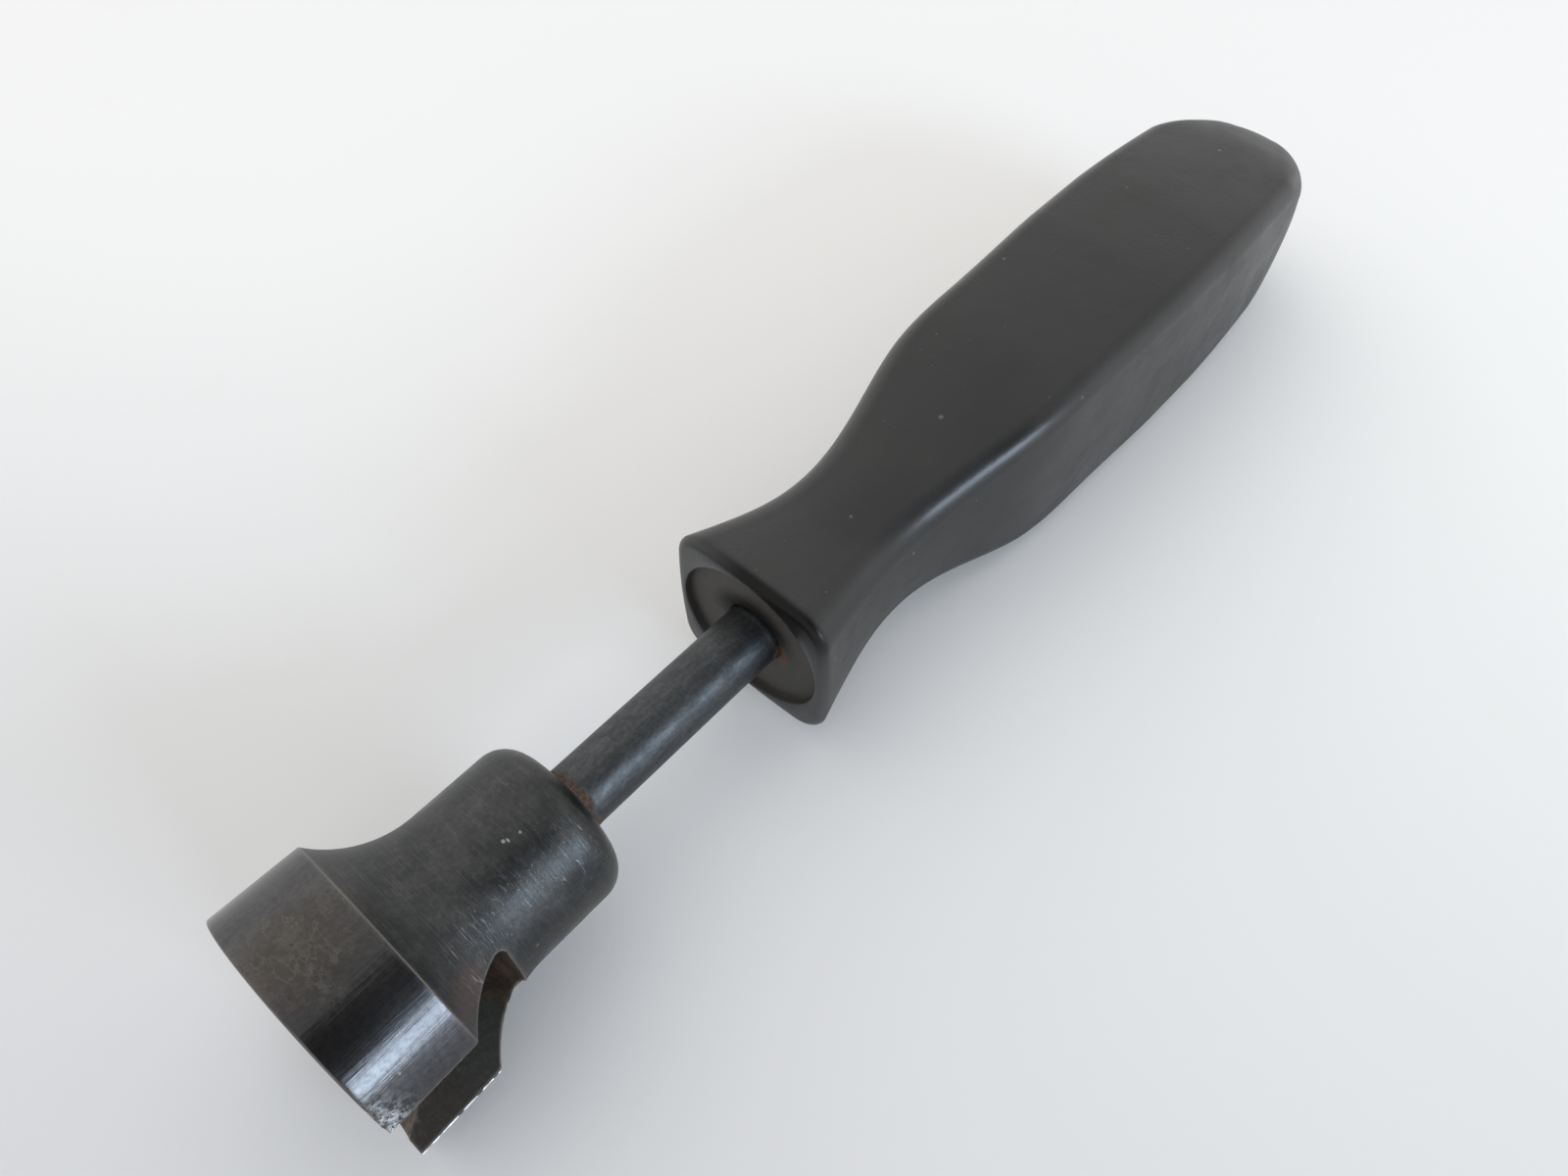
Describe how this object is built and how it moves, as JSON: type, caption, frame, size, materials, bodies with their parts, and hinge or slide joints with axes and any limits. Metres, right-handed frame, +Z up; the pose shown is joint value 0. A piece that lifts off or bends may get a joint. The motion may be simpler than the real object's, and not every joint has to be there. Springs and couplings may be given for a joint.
{
  "type": "spring retainer cup tool",
  "caption": "Hand tool with a square moulded handle, a round steel shank and a bell-shaped steel cup that has one side slot open at its mouth.",
  "frame": {"origin": "middle of the tool's bounding box on its underside, as it lies on a bench", "axes": "+X along the tool from the cup's mouth to the handle's butt, +Z up, handle sides square to Y and Z"},
  "size_m": [0.1846, 0.0296, 0.0306],
  "materials": {
    "cup_steel": "dark satin turned steel, worn",
    "shank_steel": "blued, with rust at both ends",
    "handle_plastic": "black, worn to a soft sheen"
  },
  "bodies": {
    "root": {"cup_head": "cup_steel", "shank": "shank_steel", "handle": "handle_plastic"}
  },
  "joints": []
}
